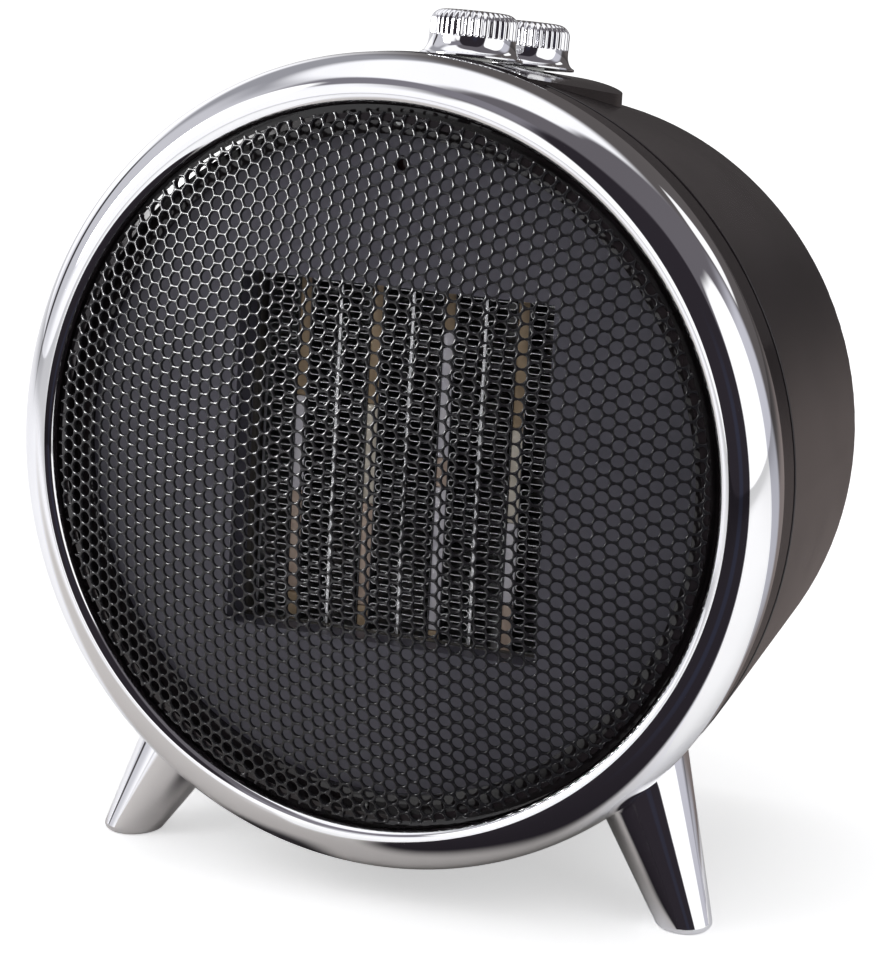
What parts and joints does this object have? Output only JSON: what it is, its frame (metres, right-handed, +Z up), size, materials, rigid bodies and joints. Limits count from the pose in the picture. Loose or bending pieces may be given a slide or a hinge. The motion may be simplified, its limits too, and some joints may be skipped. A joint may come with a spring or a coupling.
{
  "type": "ceramic fan heater",
  "caption": "Round ceramic fan heater: drum leaning back on splayed tapered legs, domed perforated grille in a rounded bezel, fluted control knobs on a raised top panel.",
  "frame": {"origin": "on the floor, below the middle of the whole heater's bounding box", "axes": "+X to the right seen from the front, +Y towards the back, +Z up; the front faces -Y"},
  "size_m": [0.2576, 0.1848, 0.275],
  "materials": {
    "chrome_bezel": "polished",
    "chrome_leg": "polished",
    "chrome_knob": "polished",
    "screw_bright": "polished",
    "screw_zinc": "zinc plated",
    "screw_black": "black",
    "black_sheet": "gloss black",
    "baffle_sheet": "satin dark grey",
    "black_gloss": "gloss black",
    "black_shell": "gloss black",
    "black_matte": "black",
    "lamp_holder": "dark",
    "heater_frame": "black",
    "cutout": "cream",
    "duct": "black",
    "impeller": "dark grey",
    "steel_shaft": "ground",
    "rotor": "turned",
    "lamination": "stacked sheet",
    "coil": "varnished",
    "bracket": "zinc plated",
    "bearing": "sintered",
    "rubber_gland": "matt black",
    "terminal_block": "white",
    "switch_case": "white",
    "steel_bob": "turned",
    "switch_body": "black",
    "ceramic": "tan ceramic",
    "fin_aluminium": "bare",
    "divider_aluminium": "bare"
  },
  "bodies": {
    "housing": {"front_bezel": "chrome_bezel", "bezel_screw": "screw_bright", "front_grille": "black_sheet", "front_frame": "black_gloss", "frame_screws": "screw_zinc", "baffle_plate": "baffle_sheet", "baffle_screws": "screw_zinc", "pilot_lamp": "lamp_holder", "heater_frame": "heater_frame", "heater_screws": "screw_zinc", "thermal_cutout": "cutout", "air_duct": "duct", "motor_stator": "lamination", "motor_coil": "coil", "motor_bracket_front": "bracket", "motor_bracket_rear": "bracket", "motor_bearings": "bearing", "motor_screws": "screw_zinc", "fan_mount": "duct", "fan_mount_screws": "screw_zinc", "body_shell": "black_shell", "rear_cover": "black_matte", "cover_screws": "screw_black", "cord_gland": "rubber_gland", "terminal_block": "terminal_block", "control_panel": "black_gloss", "control_nuts": "screw_zinc", "leg_screws": "screw_zinc", "tilt_switch_case": "switch_case", "leg_front_left": "chrome_leg", "leg_front_right": "chrome_leg", "leg_rear_left": "chrome_leg", "leg_rear_right": "chrome_leg", "mode_switch": "switch_body", "thermostat": "switch_body", "ceramic_strip_1": "ceramic", "ceramic_strip_2": "ceramic", "ceramic_strip_3": "ceramic", "ceramic_strip_4": "ceramic", "heater_fin_1": "fin_aluminium", "heater_fin_2": "fin_aluminium", "heater_fin_3": "fin_aluminium", "heater_fin_4": "fin_aluminium", "heater_fin_5": "fin_aluminium", "heater_fin_6": "fin_aluminium", "heater_fin_7": "fin_aluminium", "heater_fin_8": "fin_aluminium", "divider_plate_1": "divider_aluminium", "divider_plate_2": "divider_aluminium", "divider_plate_3": "divider_aluminium", "divider_plate_4": "divider_aluminium", "divider_plate_5": "divider_aluminium"},
    "fan": {"impeller": "impeller", "motor_shaft": "steel_shaft", "motor_rotor": "rotor"},
    "mode_control": {"mode_knob": "chrome_knob", "mode_shaft": "steel_shaft"},
    "thermostat_control": {"thermostat_knob": "chrome_knob", "thermostat_shaft": "steel_shaft"},
    "tilt_pendulum": {"tilt_pendulum": "steel_bob"}
  },
  "joints": [
    {"name": "fan_spin", "type": "hinge", "parent": "housing", "child": "fan", "pos_m": [0, 0.02146, 0.13011], "axis": [0, 0.992, -0.1265], "continuous": true},
    {"name": "mode_knob_turn", "type": "hinge", "parent": "housing", "child": "mode_control", "pos_m": [0, 0.00344, 0.25755], "axis": [0, -0.2438, -0.9698], "range_deg": [0, 180]},
    {"name": "thermostat_knob_turn", "type": "hinge", "parent": "housing", "child": "thermostat_control", "pos_m": [0, 0.04525, 0.24704], "axis": [0, -0.2438, -0.9698], "range_deg": [0, 270]},
    {"name": "tilt_pendulum_swing", "type": "hinge", "parent": "housing", "child": "tilt_pendulum", "pos_m": [0, 0.00568, 0.0495], "axis": [1, 0, 0], "range_deg": [-25, 25]}
  ]
}
